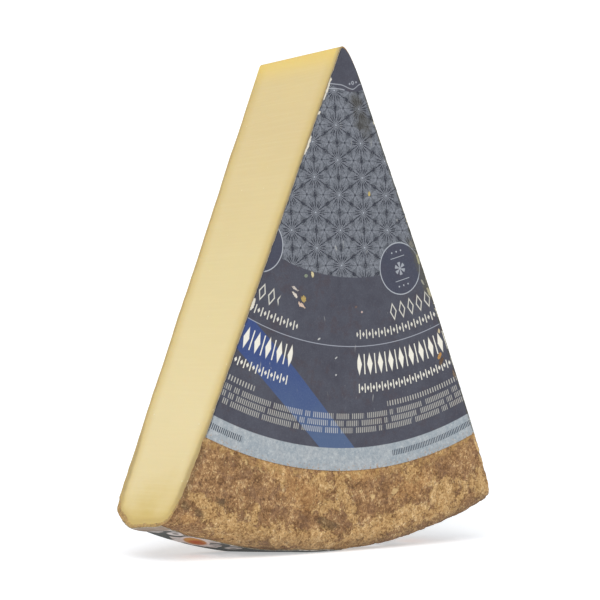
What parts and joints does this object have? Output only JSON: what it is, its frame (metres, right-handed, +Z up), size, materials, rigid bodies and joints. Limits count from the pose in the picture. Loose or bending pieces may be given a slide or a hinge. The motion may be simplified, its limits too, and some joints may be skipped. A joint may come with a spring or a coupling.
{
  "type": "hard cheese wedge",
  "caption": "Tall wedge of aged mountain cheese standing on its rind heel, with two knife-cut sides, a patterned paper label on its front and a thin printed band round the heel.",
  "frame": {"origin": "middle of the wedge's footprint, on the surface that its heel rests on", "axes": "+Z up towards the point, -Y out of the label face, X from cut side to cut side"},
  "size_m": [0.2866, 0.0946, 0.3512],
  "materials": {
    "cheese": "smooth cream-yellow cut paste and a rough, mottled grey-brown rind",
    "label_paper": "matt navy paper with a grey-blue star-lattice field, a lighter ribbon and a pale outer ring",
    "band_print": "thin worn pale band with dark green ornaments and orange ovals"
  },
  "bodies": {
    "root": {"cheese_wedge": "cheese", "paper_label": "label_paper", "heel_band": "band_print"}
  },
  "joints": []
}
